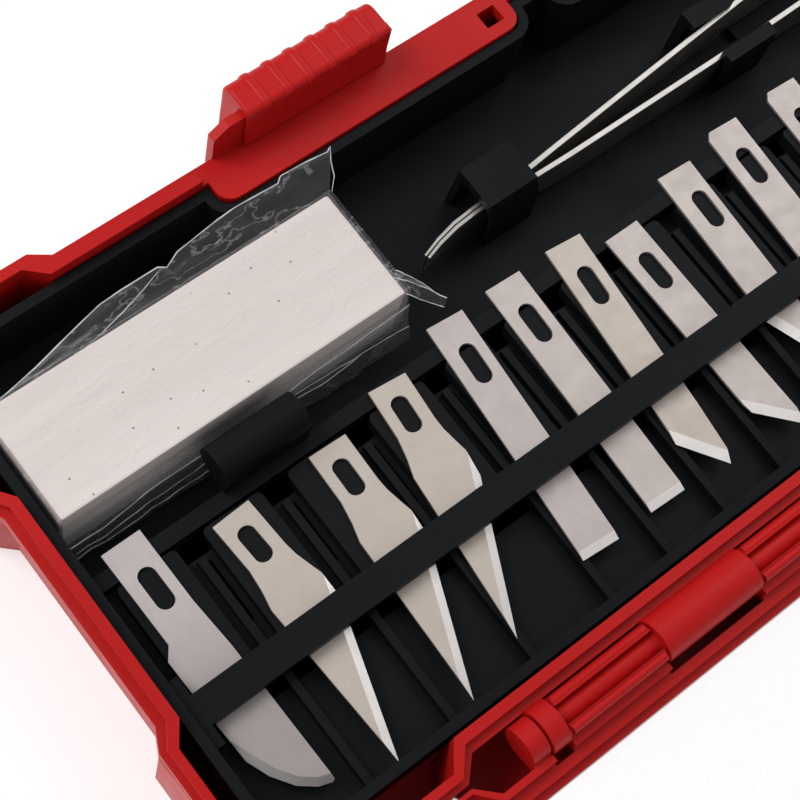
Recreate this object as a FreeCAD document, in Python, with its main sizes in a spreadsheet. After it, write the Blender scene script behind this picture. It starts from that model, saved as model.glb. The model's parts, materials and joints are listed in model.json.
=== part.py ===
"""Hobby-knife case: an open red clamshell with black insert trays, blades, a
whetstone, tweezers and three handles.  Millimetres.  X runs along the hinge,
+Y from the hinge to the front edge of the base, +Z up.  The hinge line is at
Y = 0; the lid lies open on the -Y side."""
import FreeCAD
import Part
import Sketcher
import math
import os

doc = FreeCAD.newDocument("knife_case")
V = FreeCAD.Vector

# ---------------------------------------------------------------- the sheet
SIZES = [
    ("case_half_len", 110.0),
    ("footprint_shift", 1.85),
    ("bulge_out", 1.6),
    ("rim_height", 17.95),
    ("axis_height", 18.0),
    ("floor_thick", 2.0),
    ("rim_front", 91.2),
    ("rim_back", 3.25),
    ("rim_flange", 2.9),
    ("wall_inset", 1.6),
    ("rim_wide", 2.9),
    ("bulge_x", 23.5),
    ("bulge_x_back", 27.7),
    ("bulge_y", 28.7),
    ("tongue_high", 1.5),
    ("tongue_wide", 1.6),
    ("barrel_radius", 2.95),
    ("hub_radius", 3.4),
    ("hub_clear", 4.7),
    ("rod_radius", 1.7),
    ("trough_bore", 1.76),
    ("unit_pitch", 41.8),
    ("unit_half", 32.4),
    ("plug_len", 3.2),
    ("disk_len", 3.2),
    ("trough_len", 17.3),
    ("centre_len", 17.4),
    ("axial_gap", 0.3),
    ("plate_in", 84.1),
    ("plate_mid", 31.7),
    ("plate_half", 27.7),
    ("rail_in", 91.0),
    ("rail_thick", 1.5),
    ("rail_top", 24.9),
    ("rail_near", 25.3),
    ("rail_far", 56.8),
    ("latch_near", 26.0),
    ("latch_len", 25.6),
    ("latch_rib", 0.3),
    ("latch_in", 89.9),
    ("latch_out", 96.9),
    ("latch_top", 26.7),
    ("latch_low", 12.0),
    ("tray_half", 106.8),
    ("tray_back", 6.7),
    ("tray_front", 88.0),
    ("tray_wall", 1.5),
    ("tray_top", 17.2),
    ("lane_floor", 4.0),
    ("deck_top", 10.2),
    ("deck_thick", 1.5),
    ("deck_front", 51.6),
    ("pad_top", 12.5),
    ("bar_back", 26.3),
    ("bar_front", 31.0),
    ("bar_top", 15.6),
    ("bar_low", 13.3),
    ("blade_thick", 0.5),
    ("blade_z", 12.55),
    ("blade_end", 53.3),
    ("stone_len", 57.8),
    ("stone_left", -104.2),
    ("stone_back", 59.0),
    ("stone_wide", 18.5),
    ("stone_high", 13.0),
    ("film_gap", 0.1),
    ("film_thick", 0.25),
    ("tweezer_len", 118.0),
    ("tweezer_wide", 9.0),
    ("tweezer_thick", 0.9),
    ("knife_small", 8.0),
    ("knife_mid", 10.0),
    ("knife_large", 13.0),
    ("foam_back", 7.4),
    ("foam_top", 16.0),
]
sheet = doc.addObject("Spreadsheet::Sheet", "Sizes")
for row, (word, number) in enumerate(SIZES, 1):
    sheet.set("A%d" % row, word)
    sheet.set("B%d" % row, repr(number))
    sheet.setAlias("B%d" % row, word)
doc.recompute()
S = dict(SIZES)


def expr(text):
    """Put the sheet's name before each alias in a size."""
    out = ""
    word = ""
    for c in str(text) + " ":
        if c.isalnum() or c == "_":
            word += c
            continue
        out += "Sizes." + word if word in S else word
        word = ""
        out += c
    return out.strip()


def value(text):
    """The number that a size comes to, for checks and for loops."""
    return float(sheet_eval(text))


def sheet_eval(text):
    probe = doc.getObject("Probe") or doc.addObject("Part::Box", "Probe")
    probe.setExpression("Placement.Base.x", expr(text))
    probe.recompute()
    return probe.Placement.Base.x


count = 0


def bind(obj, **sizes):
    for prop, text in sizes.items():
        obj.setExpression(prop.replace("__", "."), expr(text))
    return obj


def at(obj, x, y, z):
    obj.setExpression("Placement.Base.x", expr(x))
    obj.setExpression("Placement.Base.y", expr(y))
    obj.setExpression("Placement.Base.z", expr(z))
    return obj


def fresh(kind, stem):
    global count
    count += 1
    return doc.addObject(kind, "%s_%d" % (stem, count))


def box(x0, x1, y0, y1, z0, z1):
    """A block between two corners, each coordinate a size in words."""
    b = fresh("Part::Box", "Block")
    bind(b, Length="(%s) - (%s)" % (x1, x0), Width="(%s) - (%s)" % (y1, y0))
    bind(b, Height="(%s) - (%s)" % (z1, z0))
    return at(b, x0, y0, z0)


def rod_x(x0, x1, y, z, radius):
    """A round bar along X."""
    c = fresh("Part::Cylinder", "Round")
    bind(c, Radius=radius, Height="(%s) - (%s)" % (x1, x0))
    c.Placement.Rotation = FreeCAD.Rotation(V(0, 1, 0), 90)
    return at(c, x0, y, z)


def rod_z(x, y, z0, z1, radius):
    c = fresh("Part::Cylinder", "Post")
    bind(c, Radius=radius, Height="(%s) - (%s)" % (z1, z0))
    return at(c, x, y, z0)


def cone_x(x0, x1, y, z, r0, r1):
    c = fresh("Part::Cone", "Taper")
    bind(c, Radius1=r0, Radius2=r1, Height="(%s) - (%s)" % (x1, x0))
    c.Placement.Rotation = FreeCAD.Rotation(V(0, 1, 0), 90)
    return at(c, x0, y, z)


def join(parts, label=None):
    if len(parts) == 1:
        f = parts[0]
    else:
        f = fresh("Part::MultiFuse", "Join")
        f.Shapes = parts
        f.Refine = False
    if label:
        f.Label = label
    return f


def cut(base, tools, label=None):
    tool = join(tools)
    c = fresh("Part::Cut", "Cut")
    c.Base = base
    c.Tool = tool
    if label:
        c.Label = label
    return c


def plane(body, role):
    for f in body.Origin.OriginFeatures:
        if f.Role == role:
            return f
    raise RuntimeError(role)


def outline(body, role, points, lift):
    """A closed sketch whose corners are each held at words from the sheet."""
    sk = body.newObject("Sketcher::SketchObject", "Outline_%d" % len(doc.Objects))
    sk.AttachmentSupport = [(plane(body, role), "")]
    sk.MapMode = "FlatFace"
    sk.setExpression("AttachmentOffset.Base.z", expr(lift))
    spots = [V(value(x), value(y), 0) for x, y in points]
    n = len(spots)
    for i in range(n):
        sk.addGeometry(Part.LineSegment(spots[i], spots[(i + 1) % n]), False)
    for i in range(n):
        sk.addConstraint(Sketcher.Constraint("Coincident", i, 2, (i + 1) % n, 1))
    for i, (x, y) in enumerate(points):
        for kind, word, spot in (("DistanceX", x, spots[i].x), ("DistanceY", y, spots[i].y)):
            k = sk.addConstraint(Sketcher.Constraint(kind, -1, 1, i, 1, spot))
            sk.setExpression("Constraints[%d]" % k, expr(word))
    return sk


def prism(points, z0, z1, role="XY_Plane", label=None):
    """A PartDesign body: one closed outline padded from z0 to z1."""
    body = fresh("PartDesign::Body", "Body")
    sk = outline(body, role, points, z0)
    pad = body.newObject("PartDesign::Pad", "Pad_%d" % len(doc.Objects))
    pad.Profile = sk
    pad.setExpression("Length", expr("(%s) - (%s)" % (z1, z0)))
    body.Tip = pad
    sk.Visibility = False
    if label:
        body.Label = label
    return body


def soften(points, radii):
    """Round chosen square corners of an outline with five short runs."""
    out = []
    for i, (x, y) in enumerate(points):
        r = radii.get(i, 0)
        if not r:
            out.append((x, y))
            continue
        away = []
        for other in (points[i - 1], points[(i + 1) % len(points)]):
            step = V(value(other[0]) - value(x), value(other[1]) - value(y), 0)
            away.append(step.normalize())
        a, b = away
        for k in range(6):
            t = math.radians(18 * k)
            dx = r * (a.x + b.x - b.x * math.cos(t) - a.x * math.sin(t))
            dy = r * (a.y + b.y - b.y * math.cos(t) - a.y * math.sin(t))
            out.append(("%s + (%.4f)" % (x, dx), "%s + (%.4f)" % (y, dy)))
    return out


# ------------------------------------------------------------ both half shells
def rim_points(side, inset_flat, inset_bulge):
    """Plan of a half shell, side +1 for the base, -1 for the lid, moved in by
    one amount along the straights and another round the corner bulges."""
    xs = "case_half_len - (%s)" % inset_flat
    xb = "case_half_len + bulge_out - (%s)" % inset_bulge
    back = "rim_back + (%s)" % inset_flat
    back_b = "0.3 + (%s)" % inset_bulge
    front = "rim_front - (%s)" % inset_flat
    front_b = "rim_front + 2 - (%s)" % inset_bulge
    bx = "case_half_len - bulge_x + (%s)" % inset_bulge
    bk = "case_half_len - bulge_x_back + (%s) / 2" % inset_bulge
    by = "bulge_y - (%s) / 2" % inset_bulge
    cy = "rim_front - bulge_y + 2.3 + (%s) / 2" % inset_bulge
    right = [
        (bk, back_b),
        (xb, back_b),
        (xb, by + " - 1.8"),
        (xs, by + " + 1.3"),
        (xs, cy + " - 1.3"),
        (xb, cy + " + 1.8"),
        (xb, front_b),
        (bx, front_b),
        (bx + " - 2.9", front),
    ]
    left = [("-(%s)" % x, y) for x, y in reversed(right)]
    tail_r = [(bk + " - 2.9", back)]
    tail_l = [("-(%s - 2.9)" % bk, back)]
    pts = right + left + tail_l + tail_r
    if side < 0:
        pts = [(x, "-(%s)" % y) for x, y in pts]
        pts = list(reversed(pts))
    return pts


def knuckles(side):
    """X ranges of one hinge unit's pieces, from its left end."""
    out = []
    x = "-unit_half"
    order = [
        ("plug", "plug_len"),
        ("disk", "disk_len"),
        ("trough", "trough_len"),
        ("centre", "centre_len"),
        ("trough", "trough_len"),
        ("disk", "disk_len"),
        ("plug", "plug_len"),
    ]
    for kind, size in order:
        out.append((kind, x, "%s + %s" % (x, size)))
        x = "%s + %s" % (x, size)
    return out


def half_shell(side):
    s = "" if side > 0 else "-"

    def ys(a, b):
        return (a, b) if side > 0 else ("-(%s)" % b, "-(%s)" % a)

    low = prism(rim_points(side, "wall_inset", "0"), "0", "rim_height - rim_flange + 0.2")
    rim = prism(rim_points(side, "0", "0"), "rim_height - rim_flange", "rim_height")
    hollow = prism(rim_points(side, "rim_wide", "2.2"), "floor_thick", "rim_height + 1")
    solids = [low, rim]
    cuts = [hollow]
    adds = []
    for e in (-1, 1):
        mid = "%d * plate_mid" % e
        y0, y1 = ys("plate_in", "rim_front - 0.5")
        x0 = "%s - plate_half" % mid
        x1 = "%s + plate_half" % mid
        corners = [(x0, y0), (x1, y0), (x1, y1), (x0, y1)]
        inner = {0: 2.5, 1: 2.5} if side > 0 else {2: 2.5, 3: 2.5}
        adds.append(prism(soften(corners, inner), "rim_height - 2", "rim_height"))
        y0, y1 = ys("plate_in", "plate_in + 1.6")
        adds.append(box(x0 + " + 2.5", x1 + " - 2.5", y0, y1, "floor_thick - 0.2", "rim_height - 1"))
        unit = "%d * unit_pitch" % e
        for kind, a, b in knuckles(side):
            mine = kind in ("disk", "centre") if side > 0 else kind in ("plug", "trough")
            xa = "%s + %s + axial_gap / 2" % (unit, a)
            xb = "%s + %s - axial_gap / 2" % (unit, b)
            if mine:
                y0, y1 = ys("0.4", "rim_back + 2")
                if kind == "trough":
                    y0, y1 = ys("trough_bore + 0.3", "rim_back + 2")
                adds.append(box(xa, xb, y0, y1, "axis_height - 2.4", "rim_height"))
                if kind == "plug":
                    y0, y1 = ys("0.4", "rim_back + wall_inset + 1")
                size = "hub_radius" if side > 0 else "barrel_radius"
                adds.append(rod_x(xa, xb, "0", "axis_height", size))
            if side > 0 and kind == "trough":
                xa = "%s + %s - 0.5" % (unit, a)
                xb = "%s + %s + 0.5" % (unit, b)
                adds.append(rod_x(xa, xb, "0", "axis_height", "rod_radius"))
    shell = cut(join(solids), cuts)
    if side > 0:
        web = [("78.8", "-3.9"), ("81.5", "0.2"), ("82.2", "1.6"), ("80", "rim_back + wall_inset + 0.5")]
        web += [("-(%s)" % x, y) for x, y in reversed(web)]
        adds.append(prism(web, "4", "5.5"))
        tongue(adds)
        rails(adds)
    else:
        lugs(adds)
        adds.append(box("-80", "80", "-7.3", "-5.9", "floor_thick - 0.2", "rim_height - 3.4"))
    body = join([shell] + adds)
    trims = []
    if side > 0:
        for e in (-1, 1):
            x = "%d * 7.8" % e
            trims.append(box(x + " - 1.6", x + " + 1.6", "86.1", "88.9", "10", "rim_height + 1"))
    else:
        channels(trims)
    return cut(body, trims, "base_shell" if side > 0 else "lid_shell")


def tongue(adds):
    """The raised lip round the base's inner rim, which enters the lid."""
    low = "rim_height - 0.3"
    top = "rim_height + tongue_high"
    lip = prism(rim_points(1, "rim_wide - tongue_wide", "0.9"), low, top)
    inner = prism(rim_points(1, "rim_wide", "2.2"), low + " - 1", top + " + 1")
    gap = box("-60.5", "60.5", "rim_front - 10", "rim_front + 1", low + " - 1", top + " + 1")
    adds.append(cut(lip, [inner, gap]))


def rails(adds):
    """The upright rail each latch runs on, at the front edge of its plate,
    with a ramp at its outer end."""
    for e in ("", "-"):
        near = e + "rail_near"
        far = e + "rail_far"
        x0, x1 = (near, far) if not e else (far, near)
        adds.append(box(x0, x1, "rim_front - 1", "rail_in + rail_thick", "rim_height - 2.9", "rim_height"))
        side = [
            (near, "rim_height - 0.5"), (far, "rim_height - 0.5"), (far, "rail_top - 1.8"),
            (e + "(rail_far - 2.5)", "rail_top"), (near, "rail_top"),
        ]
        adds.append(prism(side, "-(rail_in + rail_thick)", "-rail_in", "XZ_Plane"))


def lugs(adds):
    """The lid's hook beside each rail and the square peg beside each hook."""
    for e in (-1, 1):
        a = "%d * 63" % e
        b = "%d * 58.6" % e
        x0, x1 = (a, b) if e < 0 else (b, a)
        adds.append(box(x0, x1, "-92.4", "-88.6", "14.8", "rim_height"))
        adds.append(box(x0, x1, "-92.4", "-91.1", "12.6", "15"))
        x = "%d * 7.8" % e
        adds.append(box(x + " - 1.3", x + " + 1.3", "-88.6", "-86.4", "rim_height - 0.5", "rim_height + 2.2"))


def channels(trims):
    """What is cut from the lid: hook bores, the rebate for the base's tongue
    and the recess in front of each latch."""
    for e in (-1, 1):
        unit = "%d * unit_pitch" % e
        for kind, a, b in knuckles(-1):
            xa = "%s + %s" % (unit, a)
            xb = "%s + %s" % (unit, b)
            if kind in ("disk", "centre"):
                trims.append(box(xa, xb, "-hub_clear", "hub_clear", "axis_height - 4", "axis_height + 5"))
            if kind != "trough":
                continue
            trims.append(rod_x(xa, xb, "0", "axis_height", "trough_bore"))
            trims.append(box(xa, xb, "-1.45", "1.45", "axis_height", "axis_height + 5"))
    low = "rim_height - tongue_high - 0.3"
    top = "rim_height + 3.5"
    lip = prism(rim_points(-1, "rim_wide - tongue_wide - 0.25", "0.65"), low, top)
    keep = box("-60.2", "60.2", "-(rim_front + 1)", "-(rim_front - 9.8)", low + " - 1", top + " + 1")
    trims.append(cut(lip, [keep]))
    for e in (-1, 1):
        a = "%d * 58.5" % e
        b = "%d * 24.5" % e
        x0, x1 = (a, b) if e < 0 else (b, a)
        trims.append(box(x0, x1, "-93", "-89.6", "8", "rim_height + 1"))


# --------------------------------------------------------------- base insert
RIBS = [-91.2, -77.0, -62.8, -48.6, -37.6, -26.7, -15.5, -3.8]
for step in range(9):
    RIBS.append(7.5 + 11.5 * step)
RIBS = RIBS[:16]


def tray_points(inset, radius):
    """Plan of the base insert: straight sides, notched round the two plates."""
    i = inset
    x = "tray_half - (%s)" % i
    back = "tray_back + (%s)" % i
    front = "tray_front - (%s)" % i
    notch = "plate_in - 0.2 - (%s)" % i
    p0 = "plate_mid - plate_half - 0.3 - (%s)" % i
    p1 = "plate_mid + plate_half + 0.3 + (%s)" % i
    right = [(x, back), (x, front), (p1, front), (p1, notch), (p0, notch), (p0, front)]
    left = [("-(%s)" % a, b) for a, b in reversed(right)]
    return soften(right + left, {n: radius for n in (3, 4, 7, 8)})


def base_tray():
    solid = prism(tray_points("0", 2.3), "floor_thick", "tray_top")
    basin = prism(tray_points("tray_wall", 3.8), "lane_floor", "tray_top + 1")
    x_in = "tray_half - tray_wall"
    under = box("-(%s)" % x_in, x_in, "tray_back + tray_wall", "deck_front - 1.5", "0", "deck_top")
    shell = cut(solid, [basin, under])
    lap = "0.2"
    adds = []
    xl = "-(%s) - %s" % (x_in, lap)
    xr = "%s + %s" % (x_in, lap)
    adds.append(box(xl, xr, "tray_back + tray_wall - " + lap, "deck_front", "deck_top - deck_thick", "deck_top"))
    adds.append(box(xl, xr, "deck_front - 1.5", "deck_front", "floor_thick + 1", "deck_top"))
    adds.append(box(xl, xr, "deck_front - 2.4", "deck_front", "deck_top - 1", "pad_top"))
    edges = [-103.4] + RIBS
    for n, x in enumerate(edges):
        nxt = edges[n + 1] if n + 1 < len(edges) else 103.4
        half = 2.2 if n < 4 else 1.8
        left = "%g" % (x + 0.4 if n == 0 else x + half)
        right = "%g" % (nxt if n == len(edges) - 1 else nxt - (2.2 if n < 4 else 1.8))
        pad = [(left, "bar_back + 1"), (right, "bar_back + 1"), (right, "deck_front - 2.9"), (left, "deck_front - 2.9")]
        adds.append(prism(soften(pad, {2: 0.9, 3: 0.9}), "deck_top - 0.5", "pad_top"))
    for x in RIBS:
        a = "%g" % (x - 0.6)
        b = "%g" % (x + 0.6)
        adds.append(box(a, b, "tray_back + 1", "bar_back + 1", "deck_top - 0.5", "pad_top - 0.3"))
        adds.append(box(a, b, "bar_back", "deck_front - 5.9", "deck_top - 0.5", "pad_top - 0.9"))
    adds.append(box(xl, xr, "bar_back", "bar_front", "bar_low", "bar_top"))
    for x in RIBS:
        adds.append(box("%g" % (x - 0.6), "%g" % (x + 0.6), "bar_back", "bar_front", "pad_top - 1.2", "bar_low + 0.2"))
    for e in (-1, 1):
        a = "%d * 103.7" % e
        b = "%d * (%s)" % (e, xr)
        x0, x1 = (b, a) if e < 0 else (a, b)
        adds.append(box(x0, x1, "bar_back - 3", "bar_front + 3", "deck_top - 0.5", "bar_top"))
    # lane furniture: bridge, two posts with lips, clip
    bridge = [
        ("61.9", "3.5"), ("62.2", "11.2"), ("63.6", "14.5"), ("70.9", "14.5"), ("71.5", "3.5"),
        ("70.2", "3.5"), ("69.8", "12.9"), ("64.2", "12.9"), ("62.85", "11.2"), ("62.7", "3.5"),
    ]
    adds.append(prism(bridge, "-26.4", "-17.2", "YZ_Plane"))
    adds.append(box("21.6", "31.6", "62", "63.2", "lane_floor - 0.5", "14"))
    adds.append(box("21.6", "31.6", "63", "64.2", "12.8", "14"))
    adds.append(box("20.5", "29", "71.2", "73", "lane_floor - 0.5", "14"))
    adds.append(box("20.5", "29", "70", "71.4", "12.8", "14"))
    adds.append(clip_tab())
    body = join([shell] + adds)
    holes = []
    for n, x in enumerate(edges):
        nxt = edges[n + 1] if n + 1 < len(edges) else 103.4
        lo = "%g" % (x + 0.6)
        hi = "%g" % (nxt - 0.6)
        holes.append(box(lo, hi, "bar_back - 1.4", "bar_front - 0.2", "deck_top - deck_thick - 1", "bar_low"))
    for x in RIBS:
        low = "deck_top - deck_thick - 1"
        a = "%g" % (x + 0.6)
        b = "%g" % (x + 1.3)
        holes.append(box(a, b, "35.1", "deck_front - 6.5", low, "deck_top + 0.1"))
        a = "%g" % (x - 1.7)
        b = "%g" % (x + 1.7)
        holes.append(box(a, b, "deck_front - 5.4", "deck_front - 2.5", "deck_top - 1.1", "deck_top + 0.1"))
    holes.append(box("23", "32", "67.4", "70.9", "lane_floor - 1.3", "lane_floor + 1"))
    return cut(body, holes, "base_tray")


def clip_tab():
    """The half-round finger that leans over the stone's long edge."""
    post = box("-83.4", "-69", "deck_front - 0.6", "deck_front + 2.4", "deck_top - 1", "16.4")
    r = fresh("Part::Cylinder", "Roll")
    bind(r, Radius="3", Height="14.4")
    r.Placement.Rotation = FreeCAD.Rotation(V(0, 1, 0), 90)
    at(r, "-83.4", "deck_front + 2.4", "16.4")
    return join([post, r])


# --------------------------------------------------------------------- blades
def blade_outline(kind, w, length):
    """Outline of one blade in its own plane: u across from the tang's middle,
    v down from the tang's top end."""
    h = w / 2
    if kind == "point":
        return [
            (-h, 0), (-h, 7.8), (-3.6, 11.0), (-4.3, 13.8), (-4.35, 21.0), (-4.35, length),
            (4.2, 18.0), (4.3, 14.0), (3.9, 12.4), (3.3, 9.8), (h, 7.8), (h, 0),
        ]
    if kind == "belly":
        pts = [(-h, 0), (-h + 0.1, 15.0), (-h - 1.3, 16.8), (-h - 1.2, 26.0)]
        pts += [(-h - 1.0, 29.6), (-4.0, 33.2), (-2.7, 36.6), (-0.7, 39.6), (1.5, 41.4), (3.4, 42.1)]
        pts += [(h + 0.7, 41.9), (h + 0.5, 20.0), (h, 12.0), (h, 0)]
        return pts
    if kind == "chisel":
        return [(-h, 0), (-h, length), (h, length), (h, 0)]
    if kind == "slant":
        return [(-h, 0), (-h, length - 8.4), (-h - 0.1, length - 6.4), (2.2, length), (2.9, length - 2.2), (h, length - 10), (h, 0)]
    if kind == "long_slant":
        return [(-h, 0), (-h, length - 13.0), (2.6, length), (h, length - 1.0), (h, 0)]
    if kind == "hook":
        return [(-h, 0), (-h, length - 7.4), (-h + 0.4, length - 5.8), (2.6, length), (3.2, length - 2.4), (h, length - 9), (h, 0)]
    if kind == "gouge":
        return [
            (-h, 1.2), (-h, length - 6), (-2.2, length - 2.2), (-1.0, length - 0.4), (1.0, length - 0.4),
            (2.2, length - 2.2), (h, length - 6), (h, 0), (-h + 0.9, 0),
        ]
    return [(-h, 1.2), (-h, length - 5), (0, length), (h, length - 5), (h, 0), (-h + 0.9, 0)]


# kind, tang middle and top end in plan, lean in degrees, length
BLADES = [
    ("belly", -98.85, 53.4, 0.5, 42.0),
    ("point", -84.55, 48.2, 3.3, 40.0),
    ("point", -67.95, 48.4, -1.7, 40.0),
    ("point", -55.35, 51.0, -5.3, 40.0),
    ("chisel", -42.55, 53.9, -4.7, 39.7),
    ("chisel", -31.7, 53.8, -2.3, 39.7),
    ("slant", -20.3, 53.5, -5.5, 40.5),
    ("hook", -11.65, 50.0, 0.3, 38.8),
    ("long_slant", 1.85, 53.2, -3.1, 40.0),
    ("gouge", 13.0, 54.8, -3.4, 40.2),
    ("gouge", 25.6, 54.9, -3.0, 40.2),
    ("vee", 36.4, 53.6, -2.2, 39.8),
    ("gouge", 47.8, 54.2, -1.6, 40.0),
    ("chisel", 59.4, 53.4, -2.4, 39.4),
    ("vee", 70.8, 54.0, -1.2, 40.0),
    ("slant", 82.4, 53.6, -2.0, 40.3),
    ("chisel", 94.2, 53.8, -1.4, 39.7),
]


def blade(index, kind, x, y, lean, length):
    c = math.cos(math.radians(lean))
    n = math.sin(math.radians(lean))

    def place(u, v):
        return x + u * c + v * n, y + u * n - v * c

    words = []
    for u, v in blade_outline(kind, 6.25, length):
        px, py = place(u, v)
        words.append(("%.3f" % px, "%.3f" % py))
    flat = prism(words, "blade_z", "blade_z + blade_thick")
    tools = []
    corners = []
    top, low = (3.4, 7.3) if kind == "point" else (6.2, 10.1)
    for u, v in ((-1.35, top), (-1.35, low), (1.35, low), (1.35, top)):
        px, py = place(u, v)
        corners.append(("%.3f" % px, "%.3f" % py))
    tools.append(prism(corners, "blade_z - 1", "blade_z + 2"))
    for v in (top, low):
        px, py = place(0, v)
        tools.append(rod_z("%.3f" % px, "%.3f" % py, "blade_z - 1", "blade_z + 2", "1.35"))
    return cut(flat, tools, "blade_%02d" % index)


# ---------------------------------------------------------- latches, the rest
def latch(side):
    """A slider that rides over its rail, with six grip ribs wrapped round the
    top and the outer face."""
    e = "-" if side == "left" else ""
    near = e + "latch_near"
    far = e + "(latch_near + latch_len)"
    x0, x1 = (far, near) if e else (near, far)
    solids = [box(x0, x1, "latch_in", "latch_out - latch_rib", "latch_low", "latch_top - latch_rib")]
    for k in range(6):
        a = "%s(latch_near + latch_len - %g)" % (e, 2.76 + 3.82 * k)
        b = "%s(latch_near + latch_len - %g)" % (e, 3.96 + 3.82 * k)
        a, b = (a, b) if e else (b, a)
        solids.append(box(a, b, "latch_in + 0.1", "latch_out", "15.5", "latch_top"))
    xa = x0 + " - 1"
    xb = x1 + " + 1"
    wide = "rail_in + rail_thick + 0.15"
    tools = [
        box(xa, xb, "latch_in - 1", wide, "rim_height - rim_flange - 0.15", "rim_height + 0.4"),
        box(xa, xb, "rail_in - 0.15", wide, "rim_height", "rail_top + 0.2"),
    ]
    return cut(join(solids), tools, "latch_" + side)


def whetstone():
    b = box("stone_left", "stone_left + stone_len", "stone_back", "stone_back + stone_wide", "lane_floor + 1", "lane_floor + 1 + stone_high")
    b.Label = "whetstone"
    return b


def stone_film():
    """Clear wrap round the stone: a thin sleeve."""
    g = "film_gap"
    t = "film_gap + film_thick"
    x0 = "stone_left"
    x1 = "stone_left + stone_len"
    y0 = "stone_back"
    y1 = "stone_back + stone_wide"
    z0 = "lane_floor + 1"
    z1 = "lane_floor + 1 + stone_high"
    outer = box("%s - (%s)" % (x0, t), "%s + %s" % (x1, t), "%s - (%s)" % (y0, t), "%s + %s" % (y1, t), "%s - (%s)" % (z0, t), "%s + %s" % (z1, t))
    inner = box("%s - %s" % (x0, g), "%s + %s" % (x1, g), "%s - %s" % (y0, g), "%s + %s" % (y1, g), "%s - %s" % (z0, g), "%s + %s" % (z1, g))
    return cut(outer, [inner], "stone_wrap")


REAR_LEG = [
    (80.5, 66.65), (72.0, 66.6), (62.0, 65.4), (48.0, 64.0), (30.0, 63.7), (-10.0, 63.8),
    (-20.0, 64.3), (-27.0, 64.75), (-31.0, 64.5), (-34.5, 63.9), (-37.4, 63.1),
]
REAR_LEG_IN = [
    (-37.4, 63.6), (-34.5, 64.5), (-31.0, 65.15), (-27.0, 65.4), (-20.0, 65.1), (-10.0, 64.7),
    (30.0, 64.6), (48.0, 64.9), (62.0, 66.3), (72.0, 67.5), (80.5, 67.55),
]
FRONT_LEG = [
    (80.5, 68.45), (72.0, 68.5), (62.0, 69.7), (48.0, 70.9), (31.0, 70.6), (7.7, 68.5),
    (-16.5, 66.5), (-27.0, 66.1), (-31.0, 65.85), (-34.5, 65.15), (-37.6, 64.15),
]
FRONT_LEG_IN = [
    (-37.6, 63.7), (-34.5, 64.6), (-31.0, 65.25), (-27.0, 65.5), (-16.5, 65.6), (7.7, 67.6),
    (31.0, 69.7), (48.0, 70.0), (62.0, 68.8), (72.0, 67.65), (80.5, 67.55),
]


def tweezer_leg(which):
    """One leg of the tweezers, lying on edge; the legs meet at the rear end."""
    out, inn = (REAR_LEG, REAR_LEG_IN) if which == "rear" else (FRONT_LEG, FRONT_LEG_IN)
    words = [("%.3f" % a, "%.3f" % b) for a, b in out + inn]
    leg = prism(words, "lane_floor + 0.4", "lane_floor + 0.4 + tweezer_wide - 0.7")
    tip = [("-45", "lane_floor + 6.4"), ("-6", "lane_floor + 9"), ("-45", "lane_floor + 14")]
    nip = [("-45", "lane_floor - 1"), ("-6", "lane_floor + 0.3"), ("-45", "lane_floor + 3")]
    tools = []
    for tri in (tip, nip):
        tools.append(prism(tri, "-80", "-55", "XZ_Plane"))
    return cut(leg, tools, "tweezer_leg_" + which)


# ------------------------------------------------------- lid insert and knives
KNIVES = [
    ("large", "knife_large / 2", "-36.5", "10.9"),
    ("mid", "knife_mid / 2", "-54", "9.6"),
    ("small", "knife_small / 2", "-70", "8.6"),
]


def lid_foam():
    """The lid's white foam block: a die-cut nest for each handle and one
    finger trough across all three."""
    pts = [
        ("tray_half - 0.5", "-foam_back"), ("-(tray_half - 0.5)", "-foam_back"),
        ("-(tray_half - 0.5)", "-(plate_in - 0.4)"), ("tray_half - 0.5", "-(plate_in - 0.4)"),
    ]
    solid = prism(soften(pts, {n: 3 for n in range(4)}), "floor_thick", "foam_top")
    tools = [box("-16", "8", "-77", "-28", "6", "foam_top + 1")]
    for name, r, y, z in KNIVES:
        y0 = "%s - (%s) - 0.2" % (y, r)
        y1 = "%s + (%s) + 0.2" % (y, r)
        tools.append(box("-71", "64.5", y0, y1, "%s - (%s) - 0.1" % (z, r), "foam_top + 1"))
    return cut(solid, tools, "lid_foam")


def knife(name, r, y, z):
    """One handle: barrel, split collet, collet nut and rear cap, along X."""
    bore = "(%s) * 0.52" % r
    core = "(%s) * 0.5" % r
    barrel = cut(
        rod_x("-60", "28", y, z, r),
        [rod_x("-61", "29", y, z, bore)],
        "knife_%s_barrel" % name,
    )
    nut_body = join([rod_x("28.2", "42", y, z, r), cone_x("42", "54", y, z, r, "(%s) * 0.72" % r)])
    nut = cut(nut_body, [rod_x("27", "55", y, z, bore)], "knife_%s_nut" % name)
    stem = join([rod_x("8", "59", y, z, core), cone_x("59", "63", y, z, core, "(%s) * 0.36" % r)])
    slot = box("36", "64", y + " - 0.3", y + " + 0.3", z + " - (%s)" % r, z + " + (%s)" % r)
    cross = box("36", "64", y + " - (%s)" % r, y + " + (%s)" % r, z + " - 0.3", z + " + 0.3")
    collet = cut(stem, [slot, cross], "knife_%s_collet" % name)
    plug = join([
        rod_x("-68", "-60.1", y, z, r), rod_x("-60.3", "-50", y, z, core),
        cone_x("-70", "-68", y, z, "(%s) * 0.8" % r, r),
    ], "knife_%s_cap" % name)
    return [barrel, nut, collet, plug]


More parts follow.
